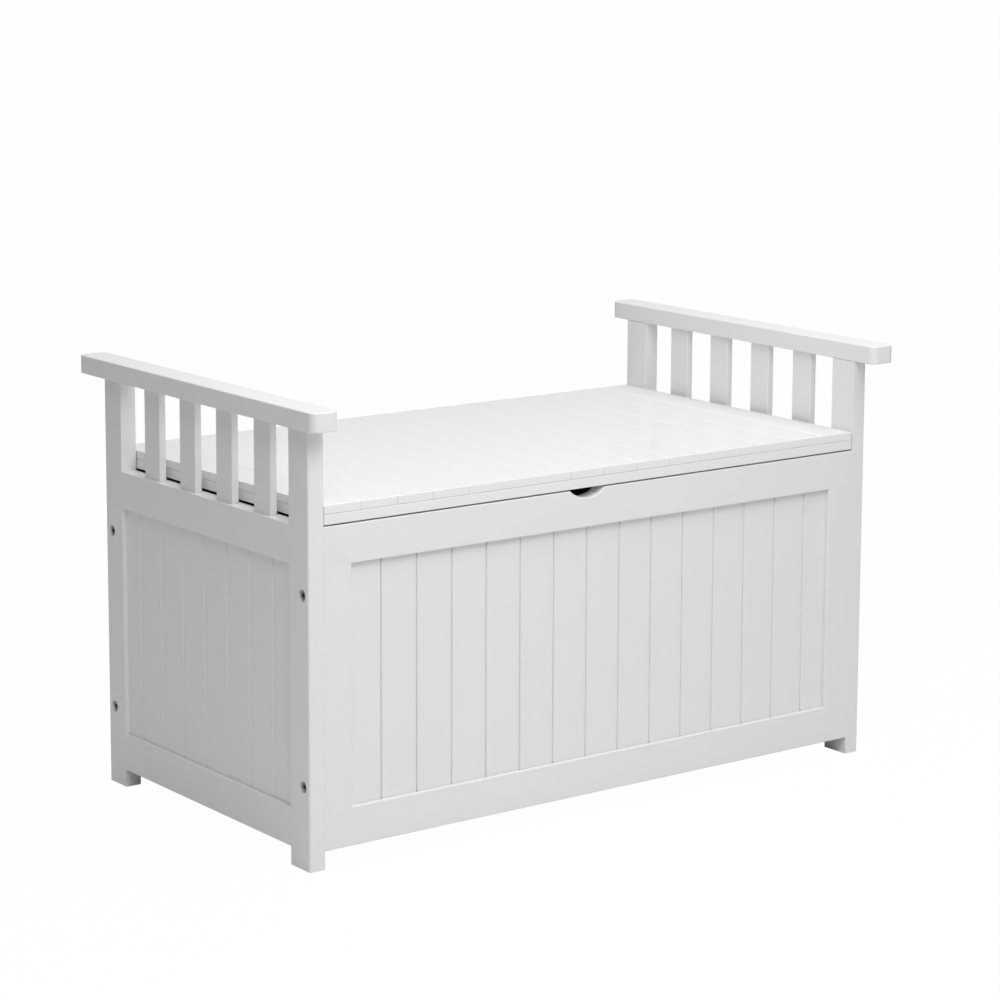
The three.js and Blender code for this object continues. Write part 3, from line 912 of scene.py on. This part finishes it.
PAD_CLEAN = (0.74, 0.75, 0.74, 1)
PAD_DUSTY = (0.66, 0.66, 0.64, 1)
PAD_ROUGHNESS = 0.35
DUST_ROUGHNESS = 0.2
DUST_PER_METRE = 420
DUST_DEPTH = 0.03 * MM
PAD_MILKINESS = 0.15
PAD_LIGHT_REACH = 4 * MM
PAD_TOP_SHARE = 0.55
PAD_DOME_STEPS = 6

pad_material, pad_plastic = new_material("soft_pad_plastic")
pad_place = pad_plastic.node("TexCoord", output="Object")
pad_dust = noise(pad_plastic, pad_place, DUST_PER_METRE, detail=3)
pad_surface = pad_plastic.node(
    "BsdfPrincipled",
    inputs={
        "Base Color": blended(pad_plastic, pad_dust, PAD_CLEAN, PAD_DUSTY),
        "Roughness": PAD_ROUGHNESS + DUST_ROUGHNESS * pad_dust,
        "Normal": relief(pad_plastic, pad_dust * DUST_DEPTH),
        "Subsurface Weight": PAD_MILKINESS,
        "Subsurface Radius": (PAD_LIGHT_REACH, PAD_LIGHT_REACH, PAD_LIGHT_REACH),
    },
)
pad_plastic.node("OutputMaterial", inputs={"Surface": pad_surface})

for side_name in SIDES:
    node = side_name + "_bumper"
    low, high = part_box(node)
    centre = (low + high) / 2
    radius = (high.x - low.x) / 2
    height = high.z - low.z
    pad = bmesh.new()
    bmesh.ops.create_circle(pad, cap_ends=True, segments=RING_SIDES, radius=radius)
    pad_rim = [edge for edge in pad.edges if edge.is_boundary]
    dome = [
        (radius * (PAD_TOP_SHARE + (1 - PAD_TOP_SHARE) * math.cos(turn)), height * math.sin(turn))
        for turn in quarter_turn(PAD_DOME_STEPS)
    ]
    turn_on(pad, pad_rim, radius, dome)
    put_at(pad, (centre.x, centre.y, low.z), (0, 0, 1))
    add_piece(node + "_pad", pad, pad_material, "carcass", "bumper_pad", node)


# ---------------------------------------------------------------- hinges
# Two zinc-plated butt hinges join the lid to the back top rail. Their plates lie on the back faces,
# the knuckles stand behind the gap, and a plain pin runs through each.

HINGE_ARRIS = 0.2 * MM
SHORTEST_LEAF_ARRIS = 9 * MM
PIN_END_ROUND = 0.3 * MM

BRIGHT_ZINC = (0.62, 0.63, 0.64, 1)
CLOUDED_ZINC = (0.5, 0.51, 0.53, 1)
ZINC_ROUGHNESS = 0.28
HINGE_ZINC = clouded_steel("hinge_zinc", BRIGHT_ZINC, CLOUDED_ZINC, ZINC_ROUGHNESS)

for side_name in SIDES:
    for leaf, body in (("rail", "carcass"), ("lid", "lid")):
        node = side_name + "_hinge_" + leaf + "_leaf"
        plate = copy_of(node)
        ease(plate, arrises(plate, SHORTEST_LEAF_ARRIS), HINGE_ARRIS)
        add_piece(node + "_steel", plate, HINGE_ZINC, body, "hinge_steel", node)
    node = side_name + "_hinge_pin"
    pin = copy_of(node)
    ease(pin, end_edges(pin, 0, [corner.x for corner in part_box(node)]), PIN_END_ROUND)
    add_piece(node + "_steel", pin, HINGE_ZINC, "carcass", "hinge_steel", node)


# ---------------------------------------------------------------- hinge screws
# Three countersunk cross-head wood screws of the same plated steel hold each leaf. They run through
# its plate into the rail or the back batten, and their heads sit flush in the plate.

SCREWS_PER_LEAF = 3
SCREW_PITCH = 21 * MM
SCREW_FROM_PIN = 7.6 * MM
PLATE_THICKNESS = 1.5 * MM
SCREW_HEAD_RADIUS = 3.05 * MM
SCREW_HEAD_EDGE = 0.15 * MM
SCREW_CONE_END = PLATE_THICKNESS + 0.1 * MM
SCREW_CROSS_ARM = 1.5 * MM
SCREW_CROSS_DEPTH = 1 * MM
SCREW_CROSS_TAPER = 0.6
SCREW_SHANK_RADIUS = 1.55 * MM
SCREW_POINT_RADIUS = 0.2 * MM
SCREW_LENGTH = 16 * MM
SCREW_SHANK_SHARE = 0.7


def cross_head_screw():
    """A countersunk screw, the flat top of its head at 0 and facing +Z."""
    shape = bmesh.new()
    bmesh.ops.create_grid(shape, x_segments=3, y_segments=3, size=SCREW_CROSS_ARM)
    corner_cells = [
        face
        for face in shape.faces
        if abs(face.calc_center_median().x) > TOUCH and abs(face.calc_center_median().y) > TOUCH
    ]
    bmesh.ops.delete(shape, geom=corner_cells, context="FACES")
    rim = recessed_disc(shape, SCREW_HEAD_RADIUS, SCREW_CROSS_DEPTH, SCREW_CROSS_TAPER)
    profile = [
        (SCREW_HEAD_RADIUS, -SCREW_HEAD_EDGE),
        (SCREW_SHANK_RADIUS, -SCREW_CONE_END),
        (SCREW_SHANK_RADIUS, -SCREW_SHANK_SHARE * SCREW_LENGTH),
        (SCREW_POINT_RADIUS, -SCREW_LENGTH),
    ]
    turn_on(shape, rim, SCREW_HEAD_RADIUS, profile)
    return shape


for side_name in SIDES:
    pin_low, pin_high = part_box(side_name + "_hinge_pin")
    pin_centre = (pin_low + pin_high) / 2
    for leaf, body, up in (("rail", "carcass", -1), ("lid", "lid", 1)):
        plate_face_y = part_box(side_name + "_hinge_" + leaf + "_leaf")[0].y + PLATE_THICKNESS
        for number in range(1, SCREWS_PER_LEAF + 1):
            screw = cross_head_screw()
            from_centre = (number - (SCREWS_PER_LEAF + 1) / 2) * SCREW_PITCH
            place = (
                pin_centre.x + from_centre,
                plate_face_y,
                pin_centre.z + up * SCREW_FROM_PIN,
            )
            put_at(screw, place, (0, 1, 0), twists.uniform(0, math.pi / 2))
            screw_name = side_name + "_" + leaf + "_leaf_screw_" + str(number)
            add_piece(screw_name, screw, HINGE_ZINC, body, "hinge_steel")


low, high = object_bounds()
